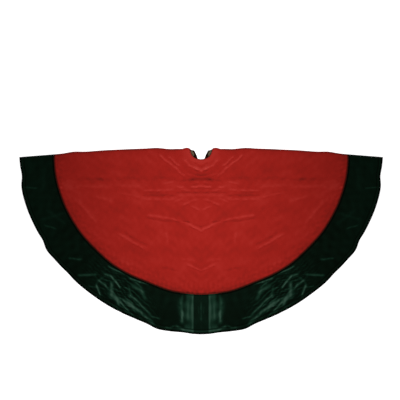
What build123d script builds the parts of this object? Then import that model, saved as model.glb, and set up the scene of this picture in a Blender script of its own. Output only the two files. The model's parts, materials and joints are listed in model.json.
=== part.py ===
from build123d import *
import os

# A round, lined velvet tree skirt, folded in half for storage. A red centre panel is
# joined to a dark green border, and both are backed by one lining. A slit runs from the
# trunk hole to the hem through the middle of the lower layer.
# The origin is the centre of the trunk hole, on the surface that the skirt lies on. The
# fold runs along X. The front half lies on top, and two quarter leaves lie under it.
# All sizes are in millimetres.

# Overall sizes, measured on the skirt laid flat
HEM_RADIUS = 609.6          # 48 in across
SEAM_RADIUS = 482.6         # where the centre panel meets the border, which is 5 in wide
HOLE_RADIUS = 38.1          # trunk hole, 3 in across

# Cloth
VELVET = 1.6                # pile and backing together
LINING = 0.5
FOLD_AIR = 4.0              # between the two lining faces of the folded skirt

# Turned edges: the velvet is folded round the lining's edge and stitched down
TURN_THICK = 0.9            # turned velvet, pressed flat
EDGE_WALL = 1.2             # velvet passing round the lining's edge
HOLE_TURN = 3.5             # width turned in at each edge
HEM_TURN = 16.0
SLIT_TURN = 24.0

# Stitch lines, measured in from their edges
HOLE_STITCH = 2.5
HEM_STITCH = 12.0
SLIT_STITCH = 21.0
THREAD = 0.8                # width of the line of thread
THREAD_SINK = 0.4           # depth that the thread is pulled into the pile
STITCH_CLEAR = 1.5          # where one stitch line stops short of another

# Gaps that keep the folded pieces free of each other
SLIT = 2.0                  # between the two leaves
FOLD_CLEAR = 0.5            # from the fold's axis to each layer

# Hook and loop closure along the slit
TAPE_WIDTH = 16.0
TAPE_LENGTH = 50.0
TAPE_THICK = 0.9
TAPE_INSET = 2.0            # from the slit's edge
TAPE_MARGIN = 30.0          # from the turned hole edge, and from the border seam
TAPE_NAMES = ("inner", "middle", "outer")

# Blank care label, caught under the slit's turned edge
LABEL_WIDTH = 32.0
LABEL_LENGTH = 20.0
LABEL_THICK = 0.3
LABEL_BELOW_SEAM = 60.0     # towards the hole, from the border seam

# Heights above the fold's axis, on the side where the upper layer lies
Z_LINING = FOLD_AIR / 2
Z_TURN = Z_LINING - TURN_THICK
Z_BACKING = Z_LINING + LINING
Z_PILE = Z_BACKING + VELVET
AXIS_HEIGHT = Z_PILE        # the lower pile face rests on the surface, at Z 0

LEFT, RIGHT = -1, 1
REACH = 2 * HEM_RADIUS      # larger than the skirt, for cutting blocks


def block(x0, x1, y0, y1, z0, z1):
    """A box between two corners."""
    size = Box(x1 - x0, y1 - y0, z1 - z0)
    return Pos((x0 + x1) / 2, (y0 + y1) / 2, (z0 + z1) / 2) * size


def ring(points):
    """A ring about Z, turned from a section given as (radius, height) points."""
    section = make_face(Polyline([(r, 0, z) for r, z in points], close=True))
    return revolve(section, Axis.Z, 360)


def flat_ring(r0, r1, z0, z1):
    """A plain ring between two radii and two heights."""
    return ring([(r0, z0), (r1, z0), (r1, z1), (r0, z1)])


def upper_half():
    """The space on the front side of the fold."""
    return block(-REACH, REACH, -REACH, -FOLD_CLEAR, 0, REACH)


def quarter(side, edge):
    """The space of one quarter, from a line beside the centre line outwards."""
    x0, x1 = sorted((side * edge, side * REACH))
    return block(x0, x1, -REACH, -FOLD_CLEAR, 0, REACH)


def along_slit(side, near, far, z0, z1):
    """A long strip beside the slit, between two distances from the slit's edge."""
    x0, x1 = sorted((side * (SLIT / 2 + near), side * (SLIT / 2 + far)))
    return block(x0, x1, -REACH, 0, z0, z1)


def thread_ring(radius):
    """The line of thread that runs round the skirt at a radius."""
    return flat_ring(radius - THREAD / 2, radius + THREAD / 2, Z_PILE - THREAD_SINK, Z_PILE)


# Whole rings, cut to a half or a quarter below

hole_thread = thread_ring(HOLE_RADIUS + HOLE_STITCH)
seam_thread = thread_ring(SEAM_RADIUS)
hem_thread = thread_ring(HEM_RADIUS - HEM_STITCH)

centre_ring = ring([
    (HOLE_RADIUS, Z_TURN),
    (HOLE_RADIUS + HOLE_TURN, Z_TURN),
    (HOLE_RADIUS + HOLE_TURN, Z_LINING),
    (HOLE_RADIUS + EDGE_WALL, Z_LINING),
    (HOLE_RADIUS + EDGE_WALL, Z_BACKING),
    (SEAM_RADIUS, Z_BACKING),
    (SEAM_RADIUS, Z_PILE),
    (HOLE_RADIUS, Z_PILE),
]) - hole_thread - seam_thread

border_ring = ring([
    (SEAM_RADIUS, Z_BACKING),
    (HEM_RADIUS - EDGE_WALL, Z_BACKING),
    (HEM_RADIUS - EDGE_WALL, Z_LINING),
    (HEM_RADIUS - HEM_TURN, Z_LINING),
    (HEM_RADIUS - HEM_TURN, Z_TURN),
    (HEM_RADIUS, Z_TURN),
    (HEM_RADIUS, Z_PILE),
    (SEAM_RADIUS, Z_PILE),
]) - seam_thread - hem_thread

lining_ring = flat_ring(HOLE_RADIUS + EDGE_WALL, HEM_RADIUS - EDGE_WALL, Z_LINING, Z_BACKING)


def tape_starts():
    """How far each tape's inner end lies from the hole's centre."""
    first = HOLE_RADIUS + HOLE_TURN + TAPE_MARGIN
    last = SEAM_RADIUS - TAPE_MARGIN - TAPE_LENGTH
    step = (last - first) / (len(TAPE_NAMES) - 1)
    return [first + i * step for i in range(len(TAPE_NAMES))]


def tape(side, start, z0, z1):
    """One closure tape, lying along the slit."""
    x0, x1 = sorted((side * (SLIT / 2 + TAPE_INSET), side * (SLIT / 2 + TAPE_INSET + TAPE_WIDTH)))
    return block(x0, x1, -start - TAPE_LENGTH, -start, z0, z1)


def slit_thread(side):
    """The slit's stitch line, in two runs that stop short of the stitch lines round the skirt."""
    line = along_slit(side, SLIT_STITCH - THREAD / 2, SLIT_STITCH + THREAD / 2,
                      Z_PILE - THREAD_SINK, Z_PILE)
    stop = THREAD / 2 + STITCH_CLEAR
    runs = [
        (HOLE_RADIUS + HOLE_STITCH + stop, SEAM_RADIUS - stop),
        (SEAM_RADIUS + stop, HEM_RADIUS - HEM_STITCH - stop),
    ]
    return [line & flat_ring(r0, r1, Z_BACKING, Z_PILE) for r0, r1 in runs]


def turned_slit_edge(side, r0, r1):
    """The velvet that wraps the lining along the slit, between two radii."""
    wall = along_slit(side, 0, EDGE_WALL, Z_TURN, Z_BACKING)
    flap = along_slit(side, 0, SLIT_TURN, Z_TURN, Z_LINING)
    return (wall + flap) & flat_ring(r0, r1, Z_TURN, Z_BACKING)


def front_half():
    """The upper layer: half of the centre panel and the lining, and two border pieces."""
    stop = THREAD / 2 + STITCH_CLEAR
    join_thread = block(-THREAD / 2, THREAD / 2, -HEM_RADIUS + HEM_STITCH + stop, -SEAM_RADIUS - stop,
                        Z_PILE - THREAD_SINK, Z_PILE)
    return {
        "centre_panel_front": centre_ring & upper_half(),
        "border_front_left": (border_ring & quarter(LEFT, 0)) - join_thread,
        "border_front_right": (border_ring & quarter(RIGHT, 0)) - join_thread,
        "lining_front": lining_ring & upper_half(),
        "hole_stitch_front": hole_thread & upper_half(),
        "border_seam_stitch_front": seam_thread & upper_half(),
        "hem_stitch_front": hem_thread & upper_half(),
        "border_join_stitch_front": join_thread,
    }


def leaf(side, word):
    """One quarter leaf, drawn face up like the upper layer. It is turned under at the end."""
    space = quarter(side, SLIT / 2)
    runs = slit_thread(side)
    centre = (centre_ring & space) + turned_slit_edge(side, HOLE_RADIUS, SEAM_RADIUS) - runs[0]
    border = (border_ring & space) + turned_slit_edge(side, SEAM_RADIUS, HEM_RADIUS) - runs[1]
    lining = lining_ring & quarter(side, SLIT / 2 + EDGE_WALL)
    return {
        f"centre_panel_back_{word}": centre,
        f"border_back_{word}": border,
        f"lining_back_{word}": lining,
        f"hole_stitch_back_{word}": hole_thread & space,
        f"border_seam_stitch_back_{word}": seam_thread & space,
        f"hem_stitch_back_{word}": hem_thread & space,
        f"slit_stitch_back_{word}": Compound(runs),
    }


def left_leaf():
    """The leaf with the hook tapes, on its turned edge, and the care label."""
    pieces = leaf(LEFT, "left")
    for name, start in zip(TAPE_NAMES, tape_starts()):
        pieces[f"hook_tape_{name}"] = tape(LEFT, start, Z_TURN - TAPE_THICK, Z_TURN)
    label_edge = -SLIT / 2 - SLIT_TURN
    label_top = -SEAM_RADIUS + LABEL_BELOW_SEAM
    pieces["care_label"] = block(label_edge - LABEL_WIDTH, label_edge, label_top, label_top + LABEL_LENGTH,
                                 Z_LINING - LABEL_THICK, Z_LINING)
    return pieces


def right_leaf():
    """The leaf with the loop tapes, sewn down through the pile and level with it."""
    pieces = leaf(RIGHT, "right")
    for name, start in zip(TAPE_NAMES, tape_starts()):
        loop = tape(RIGHT, start, Z_PILE - TAPE_THICK, Z_PILE)
        pieces["centre_panel_back_right"] -= loop
        pieces[f"loop_tape_{name}"] = loop
    return pieces


def turned_under(piece):
    """A piece of a leaf, folded under the front half."""
    return piece.mirror(Plane.XY)


nodes = front_half()
for pieces in (left_leaf(), right_leaf()):
    for name, piece in pieces.items():
        nodes[name] = turned_under(piece)

os.makedirs("parts", exist_ok=True)
for name, piece in nodes.items():
    export_step(Pos(0, 0, AXIS_HEIGHT) * piece, f"parts/{name}.step")
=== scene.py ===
import json
import math

import bpy
import numpy as np
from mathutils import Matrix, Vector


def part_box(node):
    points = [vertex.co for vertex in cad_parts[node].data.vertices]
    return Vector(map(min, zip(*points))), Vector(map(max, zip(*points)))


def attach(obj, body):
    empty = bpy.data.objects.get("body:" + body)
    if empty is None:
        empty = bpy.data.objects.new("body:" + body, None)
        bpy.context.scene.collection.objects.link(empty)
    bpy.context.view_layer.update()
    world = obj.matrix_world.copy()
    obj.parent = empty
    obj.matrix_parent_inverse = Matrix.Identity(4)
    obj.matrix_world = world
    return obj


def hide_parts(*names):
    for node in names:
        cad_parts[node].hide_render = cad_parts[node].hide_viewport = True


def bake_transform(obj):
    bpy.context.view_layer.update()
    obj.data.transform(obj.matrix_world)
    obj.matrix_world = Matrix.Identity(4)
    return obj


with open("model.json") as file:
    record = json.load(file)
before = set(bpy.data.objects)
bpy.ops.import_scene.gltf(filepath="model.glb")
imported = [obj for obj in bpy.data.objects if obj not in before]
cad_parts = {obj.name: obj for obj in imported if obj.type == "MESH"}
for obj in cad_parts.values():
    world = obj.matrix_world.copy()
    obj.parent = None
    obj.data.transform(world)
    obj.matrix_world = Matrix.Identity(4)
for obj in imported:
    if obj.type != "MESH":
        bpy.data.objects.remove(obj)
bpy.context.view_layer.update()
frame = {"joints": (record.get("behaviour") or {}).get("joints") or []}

# ---------------------------------------------------------------------------------------------
# Centre panel
# One round of red velvet with a short, dense pile, folded in half and laid flat. Its edges are
# turned in round the lining at the trunk hole and along the slit, and the roll at the fold is
# made as pieces of its own, which are attached to neither half.
# ---------------------------------------------------------------------------------------------
MM = 0.001
HOLE_STITCH = 2.5 * MM
THREAD = 0.8 * MM
axis_z = frame["joints"][0]["pos_m"][2]
hem_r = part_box("border_front_right")[1].x
seam_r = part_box("centre_panel_front")[1].x
hole_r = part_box("hole_stitch_front")[1].x - HOLE_STITCH - THREAD / 2


def hump(t, centre, width):
    """A smooth bump of height 1."""
    return np.exp(-((t - centre) / width) ** 2)


def ease(t, start, end):
    """0 before start, 1 after end, and smooth between."""
    s = np.clip((t - start) / (end - start), 0, 1)
    return s * s * (3 - 2 * s)


def ripple(x, y, length, seed, lean=0.0, spread=math.pi, waves=11):
    """Unevenness of about that wavelength, from -1 to 1. lean is the way that its waves run."""
    draw = np.random.default_rng(seed)
    ways = lean + draw.uniform(-spread / 2, spread / 2, waves)
    sizes = length * draw.uniform(0.7, 1.5, waves)
    shifts = draw.uniform(0, 7, waves)
    total = np.zeros(np.broadcast(x, y).shape)
    for way, size, shift in zip(ways, sizes, shifts):
        total += np.sin((x * math.cos(way) + y * math.sin(way)) * 2 * math.pi / size + shift)
    return total / math.sqrt(waves * 2.5)


def crease(x, d, start, end, width):
    """1 along a straight crease between two spots given in mm, and 0 away from it."""
    x0, d0, x1, d1 = (value * MM for value in (*start, *end))
    long = math.hypot(x1 - x0, d1 - d0)
    along = ((x - x0) * (x1 - x0) + (d - d0) * (d1 - d0)) / long
    across = ((d - d0) * (x1 - x0) - (x - x0) * (d1 - d0)) / long
    past = np.maximum(0, np.maximum(-along, along - long))
    return np.exp(-((across / (width * MM)) ** 2) - (past / (2 * width * MM)) ** 2)


# Creases pressed into the panel by the way it was packed, the same on its left and right:
# start and end as distances from the centre line and from the fold, width and height, in mm
PRESSED = [
    ((0, 104), (32, 105), 5, -1.2), ((32, 105), (60, 107), 4, -0.7), ((0, 90), (13, 89), 4, -1.0),
    ((75, 101), (330, 101), 8, -0.6), ((330, 101), (440, 92), 7, -0.5), ((0, 125), (27, 127), 3.5, 2.0),
    ((66, 128), (75, 127), 3.5, 1.6), ((100, 139), (185, 140), 4, 1.0), ((185, 127), (420, 122), 7, 0.6),
    ((0, 157), (80, 158), 4, 0.6), ((0, 147), (83, 148), 3, -0.8), ((85, 157), (187, 156), 4, -0.7),
    ((95, 169), (185, 169), 4, 0.9), ((53, 185), (45, 182), 4, 1.5), ((0, 274), (36, 255), 3, 1.3),
    ((36, 255), (92, 236), 3.5, 1.2), ((92, 236), (172, 222), 4, 1.1), ((42, 246), (80, 243), 3, -1.0),
    ((110, 243), (170, 234), 4, -0.8), ((0, 262), (20, 254), 3, -0.9), ((134, 28), (84, 65), 3, 1.6),
    ((104, 32), (77, 55), 3, 1.5), ((84, 65), (60, 89), 3, 1.5), ((0, 75), (16, 68), 4, 2.7),
    ((16, 68), (37, 58), 3.5, 1.7), ((42, 50), (53, 41), 4, 1.0), ((0, 63), (20, 52), 3, -1.0),
    ((267, 285), (197, 328), 4, 1.2), ((245, 285), (190, 318), 4, -0.6), ((116, 285), (112, 310), 4, 0.8),
    ((393, 181), (350, 235), 5, 0.9), ((455, 120), (472, 150), 5, 0.9), ((44, 385), (2, 404), 3.5, 1.1),
    ((60, 366), (30, 372), 5, 0.5), ((120, 400), (90, 404), 5, -0.5), ((22, 92), (44, 84), 3, 0.9),
    ((12, 112), (30, 116), 3, 0.8), ((40, 140), (62, 136), 3, 0.8), ((14, 170), (34, 174), 3, 0.8),
    ((64, 168), (84, 176), 3, 0.7), ((28, 196), (10, 203), 3, 0.8), ((96, 112), (118, 116), 3, 0.8),
    ((438, 110), (452, 190), 14, 0.5), ((210, 160), (262, 150), 4, 0.6), ((300, 172), (340, 160), 5, 0.5),
]


WANDER = 1.4 * MM           # how far a crease strays from its straight line
WANDER_LENGTH = 36 * MM


def meander(x, d, seed):
    """The same spots, moved a little, so that creases wander as they do in cloth."""
    moved_x = x + WANDER * ripple(x, d, WANDER_LENGTH, seed)
    moved_d = d + WANDER * ripple(x, d, WANDER_LENGTH, seed + 1)
    return moved_x, moved_d


def panel_relief(x, d):
    """How the panel's pile face rises and falls: its creases, and a swell round the hole."""
    ax, r = np.abs(x), np.hypot(x, d)
    mx, md = meander(ax, d, 71)
    up = sum(height * MM * crease(mx, md, *ends, width) for *ends, width, height in PRESSED)
    up = up * (0.9 + 0.45 * ripple(ax, d, 16 * MM, 75))
    return (up + 1.2 * MM * hump(r, hole_r, 30 * MM)) * (1 - ease(r, seam_r - 12 * MM, seam_r))


relief = [panel_relief]     # what makes the upper layer uneven; the border adds its own


def lift_front(x, d):
    """How far the upper layer stands above flat."""
    ax, r = np.abs(x), np.hypot(x, d)
    up = 0.9 * MM + 0.6 * MM * ripple(ax, d, 150 * MM, 1) + 0.3 * MM * ripple(ax, d, 52 * MM, 2)
    up = up - 2.2 * MM * hump(r, seam_r, 4 * MM)
    return np.maximum(sum((shape(x, d) for shape in relief), up), -1.4 * MM)


def lift_back(x, d):
    """How far the lower layer stands above the surface that it lies on."""
    return 0.3 * MM + 0.5 * MM * np.clip(ripple(x, d, 120 * MM, 31), 0, 1)


# How far the outline strays from a true circle: angle from the fold, spread in degrees, mm
HEM_STRAYS = [
    (0, 3.6, -7), (6.5, 3.4, -9.5), (18, 7, 2.5), (30, 1.8, -2.5), (33.5, 2.8, 5), (43, 3, -3), (52, 7, -3),
    (65, 8.5, -4.0), (76, 2.5, 5.5), (80, 3.5, 5), (90, 6, 7.5),
]
SEAM_STRAYS = [(10, 28, 8.5), (27, 13, 2.8), (52, 4, 1.5), (68.5, 8, -4.5), (76, 5, 1.5), (80, 3, 1),
               (90, 6, 1.5), (50, 60, 1.8), (36, 5, 1)]
# The same for the fold's line: distance from the centre line, spread and how far, in mm
FOLD_STRAYS = [(48, 12, 5.2), (78, 16, 1.3), (150, 34, 4.5), (205, 30, 1.5), (330, 65, 1.3), (424, 28, 3.6)]
FOLD_ROLL = 3.8 * MM        # radius of the soft roll at the fold
FOLD_SAG = 26.5 * MM        # how far the fold's corners drop towards the hem
SAG_FROM = 240 * MM         # from the centre line to where the drop begins
SAG_REACH = 110 * MM        # how far from the fold the cloth drops with it
FOLD_PEAK = 1.2             # how far the fold's line stands out everywhere, in mm
LOWER_INSET = 2.5 * MM      # how far the lower layer's hem is hidden behind the upper one's
HOLE_STRETCH = 2.0 * MM     # how far the upper layer's edge is drawn into the hole
SLACK_ALONG = 5.5 * MM      # how far the lower layer's edge creeps into the hole, along the fold
SLACK_ACROSS = 18.5 * MM    # and towards the fold
SLIT_PARTS = 9 * MM         # how far each side of the slit draws back at the hole


def outline_shift(r, angle, share):
    """How far a spot moves outwards, so that seam and hem follow their uneven lines."""
    seam = sum(far * hump(angle, where, wide) for where, wide, far in SEAM_STRAYS) * MM
    hem = sum(far * hump(angle, where, wide) for where, wide, far in HEM_STRAYS) * MM * share
    outer = np.clip((r - seam_r) / (hem_r - seam_r), 0, 1)
    return seam * ease(r, 0.55 * seam_r, seam_r) * (1 - outer) + hem * outer


def lie(x, v):
    """Where a spot of the flat skirt's pile face lies, as X, Y, Z. x runs along the fold, and v
    is how far the spot is from the fold, above 0 on the upper layer and below 0 on the lower."""
    x, v = np.broadcast_arrays(np.asarray(x, float), np.asarray(v, float))
    front, d, r, side = v >= 0, np.abs(v), np.hypot(x, v), np.sign(x)
    angle = np.degrees(np.arctan2(d, np.abs(x)))
    shift = outline_shift(r, angle, np.where(front, 1.0, 0.6))
    inset = np.where(front, 0, LOWER_INSET)
    shift = shift - inset * ease(r, 0.8 * hem_r, hem_r) * ease(d, 0, 42 * MM)
    px, pd = x * (1 + shift / r), d * (1 + shift / r)
    stretch = np.where(front, HOLE_STRETCH, 0)
    pd = pd - stretch * hump(r, hole_r, 40 * MM) * hump(angle, 80, 24)
    # the lower layer is slack round the hole: its edge creeps into the hole, and the slit parts
    slack = np.where(front, 0, 1) * ease(d, 0, 9 * MM) * hump(r, hole_r, 30 * MM)
    px = px - side * SLACK_ALONG * slack * hump(angle, 30, 22)
    pd = pd - SLACK_ACROSS * slack * hump(angle, 47, 28)
    part = np.where(front, 0, 1) * hump(r, hole_r, 75 * MM)
    px = px + side * SLIT_PARTS * part * ease(angle, 62, 94)
    corner = np.clip((np.abs(px) - SAG_FROM) / (hem_r - SAG_FROM), 0, 1)
    sag = FOLD_SAG * corner**1.15 * hump(pd, 0, SAG_REACH)
    peak = FOLD_PEAK + sum(far * hump(np.abs(px), where * MM, wide * MM) for where, wide, far in FOLD_STRAYS)
    peak = peak * MM * hump(pd, 0, 30 * MM)
    bend = FOLD_ROLL * math.pi / 2
    turn = np.clip(pd / FOLD_ROLL, 0, math.pi / 2)
    y = FOLD_ROLL * (np.cos(turn) - 1) - np.maximum(0, pd - bend) - sag + peak
    rise = ease(pd, 0.3 * bend, 32 * MM)
    over = FOLD_ROLL * np.sin(turn) + lift_front(x, d) * rise
    under = -FOLD_ROLL * np.sin(turn) + (lift_back(x, d) - (axis_z - FOLD_ROLL)) * rise
    return np.stack([px, y, axis_z + np.where(front, over, under)], -1)


def facing(x, v):
    """The direction that the pile faces there."""
    step = 0.2 * MM
    across = lie(x + step, v) - lie(x - step, v)
    down = lie(x, v + step) - lie(x, v - step)
    n = np.cross(down, across)
    return n / np.linalg.norm(n, axis=-1, keepdims=True)


FOLD_STRIP = 14 * MM        # cloth on each side of the fold that belongs to the roll
FOLD_COLUMNS = 28           # even, so that no row of spots lies on the hinge's own line
HALF_SLIT = 1 * MM


def spots_on_half(r0, r1, rows, columns):
    """A net over the upper layer between two radii, from the left fold strip to the right one."""
    r = np.linspace(r0, r1, rows)[:, None]
    edge = np.arcsin(FOLD_STRIP / r)
    turn = (math.pi - edge) + np.linspace(0, 1, columns)[None, :] * (2 * edge - math.pi)
    return r * np.cos(turn), r * np.sin(turn)


def spots_on_quarter(r0, r1, rows, columns, side, layer, gap):
    """A net over one quarter, from the fold strip to a line beside the centre line.
    layer is 1 for the upper layer and -1 for the lower one."""
    r = np.linspace(r0, r1, rows)[:, None]
    first, last = np.arcsin(FOLD_STRIP / r), np.arccos(gap / r)
    turn = first + np.linspace(0, 1, columns)[None, :] * (last - first)
    return side * r * np.cos(turn), layer * r * np.sin(turn)


def spots_on_fold(r0, r1, rows, columns, side):
    """A net over the strip of cloth that rolls round the fold, on one side of the hole."""
    r = np.linspace(r0, r1, rows)[:, None]
    v = np.linspace(FOLD_STRIP, -FOLD_STRIP, columns)[None, :]
    return side * np.sqrt(r**2 - v**2), v + 0 * r


def cloth(name, spots, thick, material, look, sink=0.0, rolled=()):
    """A closed sheet of cloth over those spots, thick deep, and sink below the pile face.
    look gives how light the pile is. rolled names edges to round: inner, outer, first, last."""
    x, v = spots
    n = facing(x, v)
    top = lie(x, v) - n * sink
    low = top - n * np.broadcast_to(thick, x.shape)[..., None]
    count = x.size
    ids = np.arange(count).reshape(x.shape)
    flat, light = np.stack([x, v], -1).reshape(-1, 2), look(x, v).ravel()
    # at the fold the pile also leans away from the other layer
    leaning = n + np.stack([0 * v, 0 * v, np.sign(v) * hump(v, 0, 2.5 * MM)], -1)
    leaning = (leaning / np.linalg.norm(leaning, axis=-1, keepdims=True)).reshape(-1, 3)
    places, normals = [top.reshape(-1, 3), low.reshape(-1, 3)], [leaning, -leaning]
    # the lower face is painted at the deepest colour, a painted shade on the turned strips that show at the
    # hole
    flats, lights = [flat, flat], [light, 0 * light]
    grid = np.stack([ids[:-1, :-1], ids[1:, :-1], ids[1:, 1:], ids[:-1, 1:]], -1).reshape(-1, 4)
    a, b, c = places[0][grid[len(grid) // 2, [0, 1, 3]]]
    outwards = np.dot(np.cross(b - a, c - a), normals[0][grid[len(grid) // 2, 0]]) > 0
    quads = grid if outwards else grid[:, ::-1]
    faces = [quads, quads[:, ::-1] + count]
    rims = {"inner": (ids[0], ids[1]), "outer": (ids[-1], ids[-2]),
            "first": (ids[:, 0], ids[:, 1]), "last": (ids[:, -1], ids[:, -2])}
    total = 2 * count
    for word, (rim, inside) in rims.items():
        up, down = places[0][rim], places[1][rim]
        chain = [rim]
        if word in rolled:
            away = up - places[0][inside]
            away = away / np.linalg.norm(away, axis=1, keepdims=True)
            middle, half = (up + down) / 2, np.linalg.norm(up - down, axis=1, keepdims=True) / 2
            for turn in np.radians((45, 90, 135)):
                normal = normals[0][rim] * math.cos(turn) + away * math.sin(turn)
                places.append(middle + normal * half)
                normals.append(normal)
                flats.append(flat[rim])
                # a rounded rim is painted at half the lightness of the face beside it, a painted shade where
                # the cloth turns away
                lights.append(light[rim] * 0.5)
                chain.append(np.arange(total, total + len(rim)))
                total += len(rim)
        chain.append(rim + count)
        backwards = (word in ("inner", "last")) == outwards
        for high, next_low in zip(chain[:-1], chain[1:]):
            strip = np.stack([high[:-1], high[1:], next_low[1:], next_low[:-1]], -1)
            faces.append(strip[:, ::-1] if backwards else strip)
    mesh = bpy.data.meshes.new(name)
    mesh.from_pydata(np.concatenate(places).tolist(), [], np.concatenate(faces).tolist())
    mesh.polygons.foreach_set("use_smooth", np.ones(len(mesh.polygons), bool))
    corners = np.zeros(len(mesh.loops), int)
    mesh.loops.foreach_get("vertex_index", corners)
    flats = np.concatenate(flats)[corners].astype(np.float32)
    mesh.uv_layers.new(name="flat").data.foreach_set("uv", flats.ravel())
    # how light the pile is at each spot: its own tone together with painted shade, highlights and sheen
    nap_and_painted_light = mesh.attributes.new("nap_and_painted_light", "FLOAT", "POINT")
    nap_and_painted_light.data.foreach_set("value", np.concatenate(lights).astype(np.float32))
    mesh.normals_split_custom_set_from_vertices(np.concatenate(normals).tolist())
    mesh.materials.append(material)
    piece = bpy.data.objects.new(name, mesh)
    bpy.context.scene.collection.objects.link(piece)
    return piece


VELVET = 1.6 * MM
LINING = 0.5 * MM
TURNED = 0.9 * MM           # velvet turned in under the lining, pressed flat
HOLE_TURN = 3.5 * MM
HEM_TURN = 16 * MM
SLIT_TURN = 24 * MM
SEAM_TUCK = 0.4 * MM        # each velvet ends this far past the seam line, down in the seam


def velvet_depth(spots, slit=False):
    """The velvet's thickness, with the lining's edge wrapped in it where it is turned in."""
    x, v = spots
    r = np.hypot(x, v)
    turned = 1 - ease(r, hole_r + HOLE_TURN - MM, hole_r + HOLE_TURN + MM)
    turned = turned + ease(r, hem_r - HEM_TURN - MM, hem_r - HEM_TURN + MM)
    if slit:
        from_slit = np.abs(x) - HALF_SLIT
        turned = np.maximum(turned, 1 - ease(from_slit, SLIT_TURN - MM, SLIT_TURN + MM))
    return VELVET + (LINING + TURNED) * turned


def seam_shade(x, r):
    """How deep in the shade of the seam's groove a spot is, which is less at the middle."""
    shade = ease(r, seam_r - 6 * MM, seam_r - 1.5 * MM) * (1 - ease(r, seam_r + 3.5 * MM, seam_r + 7 * MM))
    return shade * (0.45 + 0.55 * ease(np.abs(x), 40 * MM, 80 * MM))


def red_pile_and_painted_light(x, v):
    """How light the red pile looks: the way it is laid gives it a random tone, and on that are painted shade
    and highlights on its creases and painted shade at the seam and along the fold's edge.
    """
    ax, d, r = np.abs(x), np.abs(v), np.hypot(x, v)
    step = 1.5 * MM
    slope = (lift_front(x, d + step) - lift_front(x, d - step)) / (2 * step)
    # painted shade and highlights that follow the slope and height of the creases, and painted shade just
    # inside the seam
    light = 0.5 + 0.4 * slope + 0.10 / MM * panel_relief(x, d) - 0.06 * hump(r, seam_r - 12 * MM, 12 * MM)
    light = light + 0.04 * ripple(ax, d, 90 * MM, 61) + 0.03 * ripple(ax, d, 24 * MM, 62)
    light = light + 0.08 * ripple(ax, d, 16 * MM, 66) * ease(r, 0.86 * seam_r, seam_r)
    # painted shade in the seam's groove and along the top edge of the fold's roll
    light = light * (1 - seam_shade(ax, r)) - 0.3 * hump(d, 0, 7 * MM)
    return np.clip(np.where(v >= 0, light, 0.45 + 0.06 * ripple(x, d, 70 * MM, 65)), 0, 1)


pile = bpy.data.node_groups.new("velvet_pile", "ShaderNodeTree")
for name, kind, default in (
    ("Nap and painted light", "NodeSocketFloat", 0.5),
    ("Cloud", "NodeSocketFloat", 0.1),
    ("Grain", "NodeSocketFloat", 0.1),
    ("Depth", "NodeSocketFloat", 0.0003),
):
    pile.interface.new_socket(name, in_out="INPUT", socket_type=kind).default_value = default
pile.interface.new_socket("Lightness", in_out="OUTPUT", socket_type="NodeSocketFloat")
pile.interface.new_socket("Normal", in_out="OUTPUT", socket_type="NodeSocketVector")


def put(tree, kind, label, values=(), **links):
    """A shader node, with its settings given by name and its inputs by socket or value."""
    made = tree.nodes.new(kind)
    made.label = label
    for name, value in values:
        setattr(made, name, value)
    for name, value in links.items():
        socket = made.inputs[int(name[1:])] if name[0] == "_" else made.inputs[name.replace("_", " ")]
        if isinstance(value, bpy.types.NodeSocket):
            tree.links.new(value, socket)
        else:
            socket.default_value = value
    return made


def calculate(tree, operation, a, b, label=""):
    """Arithmetic on two values or sockets."""
    return put(tree, "ShaderNodeMath", label, [("operation", operation)], _0=a, _1=b).outputs[0]


pile_in = pile.nodes.new("NodeGroupInput").outputs
pile_out = pile.nodes.new("NodeGroupOutput").inputs
flat_map = put(pile, "ShaderNodeUVMap", "flat cloth", [("uv_map", "flat")]).outputs[0]
CLOUDS, TUFTS = 38.0, 620.0     # how many there are in a metre of cloth
clouds = put(pile, "ShaderNodeTexNoise", "soft clouds", Vector=flat_map, Scale=CLOUDS, Detail=4.0).outputs[0]
tufts = put(pile, "ShaderNodeTexNoise", "tufts", Vector=flat_map, Scale=TUFTS, Detail=2.0).outputs[0]
clouded = calculate(pile, "MULTIPLY", calculate(pile, "SUBTRACT", clouds, 0.5), pile_in["Cloud"])
grained = calculate(pile, "MULTIPLY", calculate(pile, "SUBTRACT", tufts, 0.5), pile_in["Grain"])
lightness = calculate(pile, "ADD", calculate(pile, "ADD", pile_in["Nap and painted light"], clouded), grained)
pile.links.new(lightness, pile_out["Lightness"])
pile_bump = put(pile, "ShaderNodeBump", "pile depth", Strength=1.0, Distance=pile_in["Depth"], Height=tufts)
pile.links.new(pile_bump.outputs[0], pile_out["Normal"])


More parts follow.
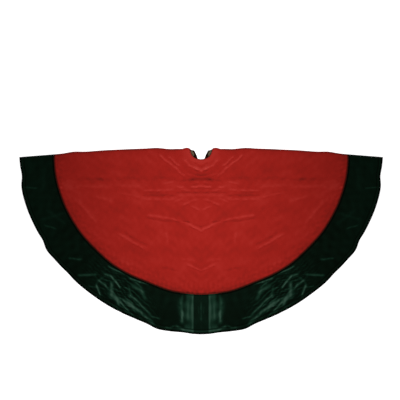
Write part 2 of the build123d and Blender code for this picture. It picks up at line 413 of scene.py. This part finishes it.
def velvet(name, deep, shade, middle, light, cloud, grain, rough, specular, sheen, sheen_tint):
    """A velvet whose colour runs from deep to light with the way its pile is laid and with the shade,
    highlights and sheen painted into its lightness.
    """
    made = bpy.data.materials.new(name)
    made.use_nodes = True
    tree = made.node_tree
    shader = tree.nodes["Principled BSDF"]
    # the stored lightness: the pile's own tone together with painted shade, highlights and sheen
    laid = put(tree, "ShaderNodeAttribute", "pile lay and painted light", [("attribute_name", "nap_and_painted_light")])
    fur = put(tree, "ShaderNodeGroup", "pile", [("node_tree", pile)])
    tree.links.new(laid.outputs["Fac"], fur.inputs["Nap and painted light"])
    fur.inputs["Cloud"].default_value = cloud
    fur.inputs["Grain"].default_value = grain
    ramp = put(tree, "ShaderNodeValToRGB", "deep to light")
    ramp.color_ramp.elements[0].color = (*deep, 1)
    ramp.color_ramp.elements[1].color = (*light, 1)
    ramp.color_ramp.elements.new(0.25).color = (*shade, 1)
    ramp.color_ramp.elements.new(0.5).color = (*middle, 1)
    tree.links.new(fur.outputs["Lightness"], ramp.inputs[0])
    tree.links.new(ramp.outputs[0], shader.inputs["Base Color"])
    flattened = calculate(tree, "MULTIPLY", fur.outputs["Lightness"], 0.2)
    tree.links.new(calculate(tree, "SUBTRACT", rough, flattened), shader.inputs["Roughness"])
    tree.links.new(fur.outputs["Normal"], shader.inputs["Normal"])
    shader.inputs["Specular IOR Level"].default_value = specular
    shader.inputs["Sheen Weight"].default_value = sheen
    shader.inputs["Sheen Roughness"].default_value = 0.35
    shader.inputs["Sheen Tint"].default_value = (*sheen_tint, 1)
    return made


red_velvet = velvet(
    "red_velvet",
    deep=(0.012, 0.0050, 0.0025),
    shade=(0.165, 0.0100, 0.0070),
    middle=(0.333, 0.0138, 0.0096),
    light=(0.56, 0.050, 0.040),
    cloud=0.06,
    grain=0.16,
    rough=0.85,
    specular=0.02,
    sheen=0.05,
    sheen_tint=(0.6, 0.05, 0.04),
)


PANEL_ROWS = 124            # from the hole to the seam
spots = spots_on_half(hole_r, seam_r + SEAM_TUCK, PANEL_ROWS, 396)
panel = cloth("centre_panel", spots, velvet_depth(spots), red_velvet, red_pile_and_painted_light, rolled=("inner",))
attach(panel, "front_half")
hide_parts("centre_panel_front")

SIDES = {"left": -1, "right": 1}
for word, side in SIDES.items():
    spots = spots_on_fold(hole_r, seam_r + SEAM_TUCK, PANEL_ROWS, FOLD_COLUMNS, side)
    roll = cloth(f"centre_panel_fold_{word}", spots, velvet_depth(spots), red_velvet, red_pile_and_painted_light,
                 rolled=("inner",))
    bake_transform(roll)
    spots = spots_on_quarter(hole_r, seam_r + SEAM_TUCK, PANEL_ROWS, 200, side, -1, HALF_SLIT)
    leaf = cloth(f"centre_panel_leaf_{word}", spots, velvet_depth(spots, slit=True), red_velvet, red_pile_and_painted_light,
                 rolled=("inner", "last"))
    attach(leaf, f"back_{word}")
    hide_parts(f"centre_panel_back_{word}")

# ---------------------------------------------------------------------------------------------
# Border
# A band of dark green velvet 5 in wide, cut in four quarters and sewn end to end, and sewn to
# the panel all round. Its outer edge is turned under and stitched, and its longer pile is
# crushed into small folds down the middle and in a patch on each side, with painted sheen on them.
# ---------------------------------------------------------------------------------------------
HEM_STITCH = 12 * MM

# Small folds where the border is crushed, each raised and painted with a bright streak of sheen,
# the same on its left and right: start and end as distances from the centre line and from the
# fold, width, in mm, and how bright each is, up to 1, which also sets how high it stands
STREAKS = [
    ((317, 416), (299, 424), 4, 0.7), ((299, 424), (284, 442), 4, 0.85), ((284, 442), (272, 462), 3.5, 0.8),
    ((339, 440), (321, 453), 4, 0.65), ((321, 453), (312, 464), 4.5, 0.6), ((348, 458), (339, 488), 4.5, 0.9),
    ((374, 460), (352, 461), 3, 0.45), ((299, 452), (298, 487), 7, 0.65), ((297, 487), (281, 504), 9, 0.9),
    ((281, 504), (277, 518), 6, 0.75), ((270, 513), (246, 542), 4, 0.8), ((255, 508), (228, 530), 6, 0.85),
    ((228, 530), (201, 549), 6.5, 0.8), ((186, 560), (164, 575), 7, 0.75), ((237, 491), (222, 502), 4, 0.6),
    ((222, 502), (193, 531), 4, 0.65), ((193, 531), (170, 553), 4, 0.55), ((224, 460), (198, 478), 7, 0.5),
    ((198, 478), (190, 497), 6, 0.4), ((216, 450), (202, 463), 4, 0.5), ((241, 470), (237, 487), 5, 0.4),
    ((303, 391), (258, 414), 3, 0.75), ((237, 431), (204, 445), 3, 0.75), ((204, 445), (177, 453), 3, 0.85),
    ((405, 422), (357, 418), 5, 0.5), ((164, 558), (139, 560), 2.5, 0.5), ((153, 594), (120, 600), 4, 0.5),
    ((434, 364), (403, 367), 4, 0.42), ((546, 123), (586, 121), 3.5, 0.26), ((486, 262), (514, 254), 4, 0.26),
    ((345, 446), (330, 430), 5, 0.25), ((462, 214), (520, 232), 7, 0.08), ((455, 240), (500, 205), 8, 0.07),
    ((112, 590), (95, 588), 4, 0.5), ((78, 590), (60, 598), 5, 0.85), ((0, 512), (0, 562), 2.5, 0.30),
    ((9, 524), (9, 540), 2.5, 0.15), ((67, 512), (66, 538), 11, 0.42), ((63, 545), (63, 567), 7, 0.8),
    ((62, 490), (64, 506), 6, 0.2), ((570, 30), (575, 60), 8, 0.06), ((515, 60), (520, 110), 10, 0.05),
]
PATCH = (0.262, 0.492)      # the middle of the crushed patch on each side


def crushed(x, d):
    """Fine folds in the crushed patch, above and below 0: how high each stands, and the painted sheen and
    shade on it.
    """
    patch = hump((x - PATCH[0]) * 0.8 + (d - PATCH[1]) * 0.6, 0, 52 * MM)
    patch = patch * hump((d - PATCH[1]) * 0.8 - (x - PATCH[0]) * 0.6, 0, 105 * MM)
    small = ripple(x, d, 13 * MM, 8, lean=math.radians(52), spread=0.8)
    return patch * (small + 0.9 * ripple(x, d, 8 * MM, 9, lean=math.radians(52), spread=1.2))


def streaks(x, d):
    """How strongly the border is crushed there, from 0 to 1: the height of its folds and the brightness of
    the painted sheen on them.
    """
    mx, md = meander(np.abs(x), d, 73)
    broken = np.clip(0.92 + 0.4 * ripple(mx, md, 17 * MM, 74), 0.35, 1)
    left = 1 + 0 * mx
    for *ends, width, bright in STREAKS:
        left = left * (1 - bright * broken * crease(mx, md, *ends, 0.74 * width))
    return 1 - left * (1 - np.clip(0.40 * crushed(mx, md), 0, 0.7))


def bands(x, d):
    """The bands of folds beside the join in the middle of the border, from 0 to 1: their height and the
    brightness of the painted sheen on them.
    """
    x = np.abs(x)
    ragged = 1.6 * MM * ripple(x, d, 40 * MM, 12, lean=1.57, spread=0.7)
    ragged = ragged - 5 * MM * (1 - ease(d, seam_r + 14 * MM, seam_r + 32 * MM))
    band = ease(x, 22.5 * MM, 26.5 * MM) * (1 - ease(x, 46 * MM + ragged, 60 * MM + ragged))
    folds = 0.68 + 0.32 * hump(x, 28 * MM, 3.5 * MM) + 0.22 * ripple(x, d, 15 * MM, 3, lean=0, spread=0.3)
    folds = folds + 0.22 * ripple(x, d, 48 * MM, 17, lean=1.2, spread=1.2)
    # the bands are lower and less bright at one spot near the hem
    fades_near_hem = 1 - 0.6 * hump(d, 574 * MM, 8 * MM) * hump(x, 46 * MM, 9 * MM)
    return band * np.clip(folds, 0.25, 1) * fades_near_hem


def border_relief(x, d):
    """How the border's pile face rises and falls."""
    r = np.hypot(x, d)
    up = 2.6 * MM * streaks(x, d) + 1.6 * MM * bands(x, d)
    up = up - 0.8 * MM * hump(np.abs(x), 0, 20 * MM) + 0.7 * MM * ripple(x, d, 70 * MM, 21)
    up = up + 1.0 * MM * hump(r, (seam_r + hem_r) / 2, 40 * MM)
    up = up - 1.0 * MM * hump(r, hem_r - HEM_STITCH, 2.5 * MM) - 1.6 * MM * ease(r, hem_r - 30 * MM, hem_r)
    return up * ease(r, seam_r, seam_r + 16 * MM)


relief.append(border_relief)


def green_pile_and_painted_light(x, v):
    """How light the green pile looks: a random tone of the pile, with painted sheen along its crushed folds
    and bands, painted shade between them, at the seam, at the hem's rolled edge and in its stitching, and a
    painted highlight on the hem's roll.
    """
    ax, d, r = np.abs(x), np.abs(v), np.hypot(x, v)
    light = 0.08 + 0.025 * ripple(ax, d, 30 * MM, 63) + 0.015 * ripple(ax, d, 110 * MM, 64)
    # lighter towards the far sides, and painted shade between the fine folds of the crushed patch
    light = light + 0.05 * ease(ax, 0.72 * hem_r, 0.86 * hem_r) - 0.06 * np.clip(-crushed(ax, d), 0, 1)
    # painted sheen: bright along the crushed streaks and the bands beside the join
    light = light + 1.05 * streaks(x, d) + 0.64 * bands(x, d) + 0.06 * (1 - ease(ax, 18 * MM, 25 * MM))
    # painted highlight along the top of the hem's roll
    ridge_highlight = hump(r, hem_r - 8.5 * MM, 2 * MM) * (0.05 + 0.25 * hump(ax, 0, 65 * MM))
    # painted shade in the seam's groove and over the last few mm where the hem rolls under
    light = light * (1 - seam_shade(ax, r)) * (1 - 0.85 * ease(r, hem_r - 7 * MM, hem_r - 2 * MM))
    # painted shade in the groove of the hem's stitching
    light = light * (1 - 0.7 * hump(r, hem_r - HEM_STITCH - MM, 2.2 * MM)) + ridge_highlight
    return np.clip(np.where(v >= 0, light, 0.12 + 0.06 * ripple(x, d, 70 * MM, 65)), 0, 1)


green_velvet = velvet(
    "green_velvet",
    deep=(0.0012, 0.0018, 0.0008),
    shade=(0.0040, 0.0158, 0.0086),
    middle=(0.0085, 0.031, 0.0178),
    light=(0.038, 0.083, 0.057),
    cloud=0.02,
    grain=0.04,
    rough=0.62,
    specular=0.006,
    sheen=0.01,
    sheen_tint=(0.04, 0.16, 0.10),
)

# A border piece is a quarter of a ring, so its cut is as long as the quarter's outer chord.
BAND_ROWS = 58              # from the seam to the hem
for word, side in SIDES.items():
    spots = spots_on_quarter(seam_r - SEAM_TUCK, hem_r, BAND_ROWS, 400, side, 1, 0)
    band = cloth(f"border_{word}", spots, velvet_depth(spots), green_velvet, green_pile_and_painted_light, rolled=("outer",))
    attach(band, "front_half")
    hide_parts(f"border_front_{word}")
    spots = spots_on_fold(seam_r - SEAM_TUCK, hem_r, BAND_ROWS, FOLD_COLUMNS, side)
    roll = cloth(f"border_fold_{word}", spots, velvet_depth(spots), green_velvet, green_pile_and_painted_light,
                 rolled=("outer",))
    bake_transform(roll)
    spots = spots_on_quarter(seam_r - SEAM_TUCK, hem_r, 50, 300, side, -1, HALF_SLIT)
    leaf = cloth(f"border_leaf_{word}", spots, velvet_depth(spots, slit=True), green_velvet, green_pile_and_painted_light,
                 rolled=("outer", "last"))
    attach(leaf, f"back_{word}")
    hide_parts(f"border_back_{word}")

# ---------------------------------------------------------------------------------------------
# Lining
# A thin, plain-woven cloth behind both velvets. Its edges are caught under the velvet that is
# turned in at the hole, the hem and the slit.
# ---------------------------------------------------------------------------------------------
LINING_SLACK = 0.05 * MM    # between the lining and the velvet's backing

lining_cloth = bpy.data.materials.new("lining_cloth")
lining_cloth.use_nodes = True
tree = lining_cloth.node_tree
shader = tree.nodes["Principled BSDF"]
flat_map = put(tree, "ShaderNodeUVMap", "flat cloth", [("uv_map", "flat")]).outputs[0]
YARNS = 190.0               # the waves that stand for rows of yarn, as the texture counts them
warp = put(tree, "ShaderNodeTexWave", "warp", [("bands_direction", "X")], Vector=flat_map, Scale=YARNS,
           Distortion=0.6).outputs[1]
weft = put(tree, "ShaderNodeTexWave", "weft", [("bands_direction", "Y")], Vector=flat_map, Scale=YARNS,
           Distortion=0.6).outputs[1]
weave = calculate(tree, "MAXIMUM", warp, weft, "plain weave")
slubs = put(tree, "ShaderNodeTexNoise", "slubs", Vector=flat_map, Scale=60.0, Detail=3.0).outputs[0]
from_weave = calculate(tree, "MULTIPLY", weave, 0.4)
from_slubs = calculate(tree, "MULTIPLY", slubs, 0.6)
mixed = calculate(tree, "ADD", from_weave, from_slubs)
ramp = put(tree, "ShaderNodeValToRGB", "yarn colour")
ramp.color_ramp.elements[0].color = (0.070, 0.048, 0.026, 1)
ramp.color_ramp.elements[1].color = (0.17, 0.120, 0.066, 1)
tree.links.new(mixed, ramp.inputs[0])
tree.links.new(ramp.outputs[0], shader.inputs["Base Color"])
woven = put(tree, "ShaderNodeBump", "weave depth", Strength=0.8, Distance=0.0002, Height=weave)
tree.links.new(woven.outputs[0], shader.inputs["Normal"])
shader.inputs["Roughness"].default_value = 0.7
shader.inputs["Specular IOR Level"].default_value = 0.15


def plain(x, v):
    """Woven cloth has no pile."""
    return 0 * x


lining_r0, lining_r1 = hole_r + HOLE_TURN, hem_r - HEM_TURN
under = VELVET + LINING_SLACK
LINING_ROWS = 110           # from its inner edge to its outer one
spots = spots_on_half(lining_r0, lining_r1, LINING_ROWS, 330)
piece = cloth("lining_upper", spots, LINING, lining_cloth, plain, sink=under)
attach(piece, "front_half")
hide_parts("lining_front")
for word, side in SIDES.items():
    spots = spots_on_fold(lining_r0, lining_r1, LINING_ROWS, FOLD_COLUMNS, side)
    roll = cloth(f"lining_fold_{word}", spots, LINING, lining_cloth, plain, sink=under)
    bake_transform(roll)
    spots = spots_on_quarter(lining_r0, lining_r1, LINING_ROWS, 170, side, -1, HALF_SLIT + SLIT_TURN)
    leaf = cloth(f"lining_leaf_{word}", spots, LINING, lining_cloth, plain, sink=under)
    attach(leaf, f"back_{word}")
    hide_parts(f"lining_back_{word}")

# ---------------------------------------------------------------------------------------------
# Stitching
# Straight stitches of polyester thread, pulled down into the pile: red round the hole and along
# the slit, and green along the seam, the hem and the join in the middle of the border.
# ---------------------------------------------------------------------------------------------
STITCH = 3.6 * MM           # length of one stitch
STITCH_GAP = 0.7 * MM       # and from its end to the next
STITCH_SINK = 0.05 * MM     # how far the thread's middle is below the pile's tips
SLIT_STITCH = 21 * MM
SHORT_OF = 2 * MM           # a line of stitches stops this far short of one that it meets


def thread_material(name, dark, light):
    """Twisted thread: fine ply lines across each stitch."""
    made = bpy.data.materials.new(name)
    made.use_nodes = True
    tree = made.node_tree
    shader = tree.nodes["Principled BSDF"]
    place = put(tree, "ShaderNodeTexCoord", "place").outputs["Object"]
    plies = put(tree, "ShaderNodeTexWave", "plies", [("bands_direction", "DIAGONAL")], Vector=place,
                Scale=700.0, Distortion=1.5).outputs[1]
    ramp = put(tree, "ShaderNodeValToRGB", "ply colour")
    ramp.color_ramp.elements[0].color = (*dark, 1)
    ramp.color_ramp.elements[1].color = (*light, 1)
    tree.links.new(plies, ramp.inputs[0])
    tree.links.new(ramp.outputs[0], shader.inputs["Base Color"])
    twist = put(tree, "ShaderNodeBump", "twist", Strength=0.6, Distance=0.0001, Height=plies)
    tree.links.new(twist.outputs[0], shader.inputs["Normal"])
    shader.inputs["Roughness"].default_value = 0.6
    shader.inputs["Specular IOR Level"].default_value = 0.1
    return made


red_thread = thread_material("red_thread", (0.10, 0.0040, 0.0025), (0.22, 0.009, 0.007))
green_thread = thread_material("green_thread", (0.0015, 0.004, 0.0025), (0.005, 0.013, 0.008))

sewing = bpy.data.node_groups.new("stitch_line", "GeometryNodeTree")
for name, kind, default in (
    ("Line", "NodeSocketGeometry", None),
    ("Stitch length", "NodeSocketFloat", STITCH),
    ("Gap", "NodeSocketFloat", STITCH_GAP),
    ("Thread width", "NodeSocketFloat", THREAD),
    ("Thread", "NodeSocketMaterial", None),
):
    socket = sewing.interface.new_socket(name, in_out="INPUT", socket_type=kind)
    if default is not None:
        socket.default_value = default
sewing.interface.new_socket("Stitches", in_out="OUTPUT", socket_type="NodeSocketGeometry")
sew_in = sewing.nodes.new("NodeGroupInput").outputs
pitch = calculate(sewing, "ADD", sew_in["Stitch length"], sew_in["Gap"])
line = put(sewing, "GeometryNodeMeshToCurve", "stitch line", Mesh=sew_in["Line"]).outputs[0]
holes = put(sewing, "GeometryNodeCurveToPoints", "stitches", [("mode", "LENGTH")], Curve=line, Length=pitch)
half_thread = calculate(sewing, "MULTIPLY", sew_in["Thread width"], 0.5)
half_stitch = calculate(sewing, "MULTIPLY", sew_in["Stitch length"], 0.5)
bead = put(sewing, "GeometryNodeMeshUVSphere", "one stitch", Segments=6, Rings=6, Radius=1.0).outputs[0]
size = put(sewing, "ShaderNodeCombineXYZ", "stitch size", X=half_thread, Y=half_thread,
           Z=half_stitch).outputs[0]
stitch = put(sewing, "GeometryNodeTransform", "stitch", Geometry=bead, Scale=size).outputs[0]
sewn = put(sewing, "GeometryNodeInstanceOnPoints", "sew", Points=holes.outputs["Points"], Instance=stitch,
           Rotation=holes.outputs["Rotation"]).outputs[0]
real = put(sewing, "GeometryNodeRealizeInstances", "real stitches", Geometry=sewn).outputs[0]
smooth = put(sewing, "GeometryNodeSetShadeSmooth", "round thread", Geometry=real).outputs[0]
coloured = put(sewing, "GeometryNodeSetMaterial", "thread", Geometry=smooth,
               Material=sew_in["Thread"]).outputs[0]
sewing.links.new(coloured, sewing.nodes.new("NodeGroupOutput").inputs[0])


def grown(name, rough, tree, settings):
    """The plain mesh that a tree makes from a rough one. Inputs are given by name."""
    host = bpy.data.objects.new(name + "_rough", rough)
    bpy.context.scene.collection.objects.link(host)
    step = host.modifiers.new("grow", "NODES")
    step.node_group = tree
    for item in tree.interface.items_tree:
        if item.item_type == "SOCKET" and item.in_out == "INPUT" and item.name in settings:
            step[item.identifier] = settings[item.name]
    bpy.context.view_layer.update()
    mesh = bpy.data.meshes.new_from_object(host.evaluated_get(bpy.context.evaluated_depsgraph_get()))
    mesh.name = name
    host.modifiers.clear()
    bpy.data.objects.remove(host)
    piece = bpy.data.objects.new(name, mesh)
    bpy.context.scene.collection.objects.link(piece)
    return piece


def stitch_line(name, runs, thread):
    """Stitches along one or more runs, each a list of spots x and v on the flat skirt."""
    places, edges = [], []
    for x, v in runs:
        first = len(places)
        places += (lie(x, v) - facing(x, v) * STITCH_SINK).tolist()
        edges += [(i, i + 1) for i in range(first, len(places) - 1)]
    rough = bpy.data.meshes.new(name + "_line")
    rough.from_pydata(places, edges, [])
    return grown(name, rough, sewing, {"Thread": thread})


def arc(r, first, last, side, layer):
    """A run of spots round the skirt, between two distances: from the fold, and from the slit."""
    turn = np.linspace(math.asin(first / r), math.acos(last / r), int(200 + 800 * r))
    return side * r * np.cos(turn), layer * r * np.sin(turn)


def across_fold(r, side):
    """A run of spots over the fold's roll."""
    v = np.linspace(FOLD_STRIP, -FOLD_STRIP, 80)
    return side * np.sqrt(r**2 - v**2), v


LINES = {
    "hole_stitch": (hole_r + HOLE_STITCH, red_thread, "red_thread"),
    "border_seam_stitch": (seam_r, green_thread, "green_thread"),
    "hem_stitch": (hem_r - HEM_STITCH, green_thread, "green_thread"),
}
for label, (r, thread, slot) in LINES.items():
    both = [arc(r, FOLD_STRIP, 0, side, 1) for side in SIDES.values()]
    piece = stitch_line(f"{label}_upper", both, thread)
    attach(piece, "front_half")
    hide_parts(f"{label}_front")
    for word, side in SIDES.items():
        piece = stitch_line(f"{label}_leaf_{word}", [arc(r, FOLD_STRIP, HALF_SLIT + MM, side, -1)], thread)
        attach(piece, f"back_{word}")
        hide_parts(f"{label}_back_{word}")
        piece = stitch_line(f"{label}_fold_{word}", [across_fold(r, side)], thread)
        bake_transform(piece)

down = np.linspace(seam_r + SHORT_OF, hem_r - HEM_STITCH - SHORT_OF, 120)
piece = stitch_line("border_join_stitch", [(0 * down, down)], green_thread)
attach(piece, "front_half")
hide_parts("border_join_stitch_front")
for word, side in SIDES.items():
    x = side * (HALF_SLIT + SLIT_STITCH)
    runs = []
    for r0, r1 in ((hole_r + HOLE_STITCH, seam_r), (seam_r, hem_r - HEM_STITCH)):
        near, far = math.sqrt(r0**2 - x**2), math.sqrt(r1**2 - x**2)
        v = -np.linspace(near + SHORT_OF, far - SHORT_OF, 300)
        runs.append((x + 0 * v, v))
    piece = stitch_line(f"slit_stitch_{word}", runs, red_thread)
    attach(piece, f"back_{word}")
    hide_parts(f"slit_stitch_back_{word}")

# ---------------------------------------------------------------------------------------------
# Hook tapes
# Three short nylon tapes on the turned edge of the left leaf, facing the upper layer. Each has
# rows of small stiff hooks, and is sewn on round its edge.
# ---------------------------------------------------------------------------------------------
TAPE_BACKING = 0.5 * MM
HOOK_PITCH = 1.5 * MM
HOOK_HEIGHT = 0.55 * MM
HOOK_WIRE = 0.09 * MM       # radius of the wire
HOOK_TURN = 0.1             # how far hooks are turned out of line, in radians


def tape_material(name, dark, light, rough):
    """Nylon tape: a fine rib and slightly uneven dye."""
    made = bpy.data.materials.new(name)
    made.use_nodes = True
    tree = made.node_tree
    shader = tree.nodes["Principled BSDF"]
    place = put(tree, "ShaderNodeTexCoord", "place").outputs["Object"]
    ribs = put(tree, "ShaderNodeTexWave", "ribs", [("bands_direction", "Y")], Vector=place, Scale=500.0,
               Distortion=0.8).outputs[1]
    ramp = put(tree, "ShaderNodeValToRGB", "dye")
    ramp.color_ramp.elements[0].color = (*dark, 1)
    ramp.color_ramp.elements[1].color = (*light, 1)
    tree.links.new(ribs, ramp.inputs[0])
    tree.links.new(ramp.outputs[0], shader.inputs["Base Color"])
    ribbed = put(tree, "ShaderNodeBump", "rib depth", Strength=0.5, Distance=0.0001, Height=ribs)
    tree.links.new(ribbed.outputs[0], shader.inputs["Normal"])
    shader.inputs["Roughness"].default_value = rough
    return made


hook_nylon = tape_material("hook_tape", (0.012, 0.010, 0.009), (0.022, 0.019, 0.017), 0.45)

tape_tree = bpy.data.node_groups.new("tape_face", "GeometryNodeTree")
for name, kind in (
    ("Tape", "NodeSocketGeometry"),
    ("Height", "NodeSocketFloat"),
    ("Wire", "NodeSocketFloat"),
    ("Turned", "NodeSocketFloat"),
    ("Material", "NodeSocketMaterial"),
):
    tape_tree.interface.new_socket(name, in_out="INPUT", socket_type=kind)
tape_tree.interface.new_socket("Grown", in_out="OUTPUT", socket_type="NodeSocketGeometry")
tape_in = tape_tree.nodes.new("NodeGroupInput").outputs
roots = put(tape_tree, "GeometryNodeMeshToPoints", "roots", Mesh=tape_in["Tape"]).outputs[0]
height = tape_in["Height"]
half = calculate(tape_tree, "MULTIPLY", height, 0.5)
hook_arc = put(tape_tree, "GeometryNodeCurveArc", "bent wire", [("mode", "RADIUS")], Resolution=6,
               Radius=half, Start_Angle=0.0, Sweep_Angle=math.radians(250)).outputs[0]
wire_ring = put(tape_tree, "GeometryNodeCurvePrimitiveCircle", "wire", Resolution=4,
                Radius=tape_in["Wire"]).outputs[0]
hook = put(tape_tree, "GeometryNodeCurveToMesh", "one hook", Curve=hook_arc, Profile_Curve=wire_ring,
           Fill_Caps=True).outputs[0]
lift = put(tape_tree, "ShaderNodeCombineXYZ", "half up", X=0.0, Y=half, Z=0.0).outputs[0]
stood = put(tape_tree, "GeometryNodeTransform", "on its foot", Geometry=hook, Translation=lift).outputs[0]
spin = put(tape_tree, "FunctionNodeRandomValue", "a little turned", [("data_type", "FLOAT")], Seed=7)
spin.inputs[2].default_value = -1.0
spin.inputs[3].default_value = 1.0
turned_by = calculate(tape_tree, "MULTIPLY", spin.outputs[1], tape_in["Turned"])
way = put(tape_tree, "ShaderNodeCombineXYZ", "standing", X=math.radians(90), Y=0.0, Z=turned_by).outputs[0]
grown_hooks = put(tape_tree, "GeometryNodeInstanceOnPoints", "rows", Points=roots, Instance=stood,
                  Rotation=way).outputs[0]
real = put(tape_tree, "GeometryNodeRealizeInstances", "real hooks", Geometry=grown_hooks).outputs[0]
coloured = put(tape_tree, "GeometryNodeSetMaterial", "nylon", Geometry=real,
               Material=tape_in["Material"]).outputs[0]
tape_tree.links.new(coloured, tape_tree.nodes.new("NodeGroupOutput").inputs[0])


def tape_backing(name, x_range, v_range, material, sink, thick):
    """The woven backing, bent to lie on the cloth under it."""
    x, v = np.meshgrid(np.linspace(*x_range, 9), np.linspace(*v_range, 25), indexing="ij")
    return cloth(name, (x, v), thick, material, plain, sink=sink)


def tape_fur(name, x_range, v_range, material, sink, pitch, height, wire, turned, up):
    """The hooks or loops, standing on the backing. up is 1 where they stand up, -1 down."""
    x, v = np.meshgrid(np.arange(x_range[0] + pitch, x_range[1] - pitch / 2, pitch),
                       np.arange(v_range[0] + pitch, v_range[1] - pitch / 2, pitch), indexing="ij")
    places = lie(x, v) - facing(x, v) * sink
    rough = bpy.data.meshes.new(name + "_roots")
    rough.from_pydata(places.reshape(-1, 3).tolist(), [], [])
    piece = grown(name, rough, tape_tree,
                  {"Height": height, "Wire": wire, "Turned": turned, "Material": material})
    if up < 0:
        spots = np.zeros(len(piece.data.vertices) * 3)
        piece.data.vertices.foreach_get("co", spots)
        spots = spots.reshape(-1, 3)
        per_root = len(spots) // places[..., 2].size
        root_z = np.repeat(places[..., 2].ravel(), per_root)
        spots[:, 2] = 2 * root_z - spots[:, 2]
        piece.data.vertices.foreach_set("co", spots.ravel())
        piece.data.flip_normals()
    return piece


def tape_place(node_name):
    """Where a tape lies on the flat skirt: its range of x and of v."""
    low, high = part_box(node_name)
    return (low.x, high.x), (low.y, high.y)


TAPES = ("inner", "middle", "outer")
depth = VELVET + LINING + TURNED
for number in TAPES:
    x_range, v_range = tape_place(f"hook_tape_{number}")
    tape = tape_backing(f"hook_tape_{number}_backing", x_range, v_range, hook_nylon, depth, TAPE_BACKING)
    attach(tape, "back_left")
    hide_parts(f"hook_tape_{number}")
    hooks = tape_fur(f"hook_tape_{number}_hooks", x_range, v_range, hook_nylon, depth + TAPE_BACKING,
                     HOOK_PITCH, HOOK_HEIGHT, HOOK_WIRE, HOOK_TURN, 1)
    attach(hooks, "back_left")

# ---------------------------------------------------------------------------------------------
# Loop tapes
# Three matching tapes on the outer face of the right leaf, level with the pile round them. Each
# is a brushed mat of fine nylon loops that the hooks catch in when the slit is closed.
# ---------------------------------------------------------------------------------------------
loop_nylon = tape_material("loop_tape", (0.014, 0.011, 0.010), (0.028, 0.022, 0.020), 0.9)
LOOP_BACKING = 0.6 * MM
LOOP_PROUD = 0.12 * MM      # how far the backing stands out past the pile's tips
LOOP_ROOTS = 0.10 * MM      # and the loops' roots
LOOP_PITCH = 1.1 * MM
LOOP_HEIGHT = 0.5 * MM
LOOP_WIRE = 0.06 * MM
LOOP_TURN = 3.0             # loops face every way, in radians
for number in TAPES:
    x_range, v_range = tape_place(f"loop_tape_{number}")
    tape = tape_backing(f"loop_tape_{number}_backing", x_range, v_range, loop_nylon, -LOOP_PROUD,
                        LOOP_BACKING)
    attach(tape, "back_right")
    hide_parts(f"loop_tape_{number}")
    loops = tape_fur(f"loop_tape_{number}_loops", x_range, v_range, loop_nylon, -LOOP_ROOTS,
                     LOOP_PITCH, LOOP_HEIGHT, LOOP_WIRE, LOOP_TURN, -1)
    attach(loops, "back_right")

# ---------------------------------------------------------------------------------------------
# Care label
# A small blank tab of white satin ribbon, caught under the turned edge of the left leaf and
# lying on the lining.
# ---------------------------------------------------------------------------------------------
LABEL_THICK = 0.3 * MM
label_cloth = tape_material("label_cloth", (0.55, 0.55, 0.53), (0.70, 0.70, 0.68), 0.5)
x_range, v_range = tape_place("care_label")
x, v = np.meshgrid(np.linspace(*x_range, 25), np.linspace(*v_range, 17), indexing="ij")
under = VELVET + LINING + LINING_SLACK
label = cloth("care_label_tab", (x, v), LABEL_THICK, label_cloth, plain, sink=under)
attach(label, "back_left")
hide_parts("care_label")

# ---------------------------------------------------------------------------------------------
# Floor, light and camera
# A lit white floor, one wide soft lamp hung low over the middle of the skirt, a little light
# from all round, and a camera straight above.
# ---------------------------------------------------------------------------------------------
bpy.ops.mesh.primitive_plane_add(size=8)
floor = bpy.context.object
floor.name = "floor"
paint = bpy.data.materials.new("floor_paint")
paint.use_nodes = True
paint_shader = paint.node_tree.nodes["Principled BSDF"]
paint_shader.inputs["Base Color"].default_value = (0.9, 0.9, 0.9, 1)
paint_shader.inputs["Roughness"].default_value = 0.9
paint_shader.inputs["Specular IOR Level"].default_value = 0.1
paint_shader.inputs["Emission Color"].default_value = (1, 1, 1, 1)
paint_shader.inputs["Emission Strength"].default_value = 0.85
floor.data.materials.append(paint)

world = bpy.data.worlds.new("studio")
world.use_nodes = True
sky = world.node_tree
SOFT_LIGHT = 0.28           # falls on the skirt from all round
WALL_LIGHT = 0.75           # more, where the camera sees the wall itself
seen = put(sky, "ShaderNodeLightPath", "what the camera sees").outputs["Is Camera Ray"]
wall = calculate(sky, "MULTIPLY", seen, WALL_LIGHT)
strength = calculate(sky, "ADD", wall, SOFT_LIGHT, "white wall, soft light")
sky.links.new(strength, sky.nodes["Background"].inputs["Strength"])
sky.nodes["Background"].inputs["Color"].default_value = (1, 1, 1, 1)
bpy.context.scene.world = world

softbox = bpy.data.lights.new("softbox", "AREA")
softbox.shape = "RECTANGLE"
softbox.size = 0.75         # along the fold
softbox.size_y = 0.82       # and across it
softbox.energy = 3.0        # watts
lamp = bpy.data.objects.new("softbox", softbox)
lamp.location = (0, -0.255, 0.42)
lamp.visible_camera = False
bpy.context.scene.collection.objects.link(lamp)

FRAME_WIDTH = 1.3324        # what the camera takes in, at the height of the cloth
CAMERA_HEIGHT = 3.15
FOCAL_LENGTH = 85
lens = bpy.data.cameras.new("camera")
lens.lens = FOCAL_LENGTH
lens.sensor_width = FOCAL_LENGTH * FRAME_WIDTH / CAMERA_HEIGHT
camera = bpy.data.objects.new("camera", lens)
camera.location = (-0.00375, -0.1682, CAMERA_HEIGHT + 2 * axis_z)
bpy.context.scene.collection.objects.link(camera)
bpy.context.scene.camera = camera
bpy.context.scene.view_settings.view_transform = "Standard"
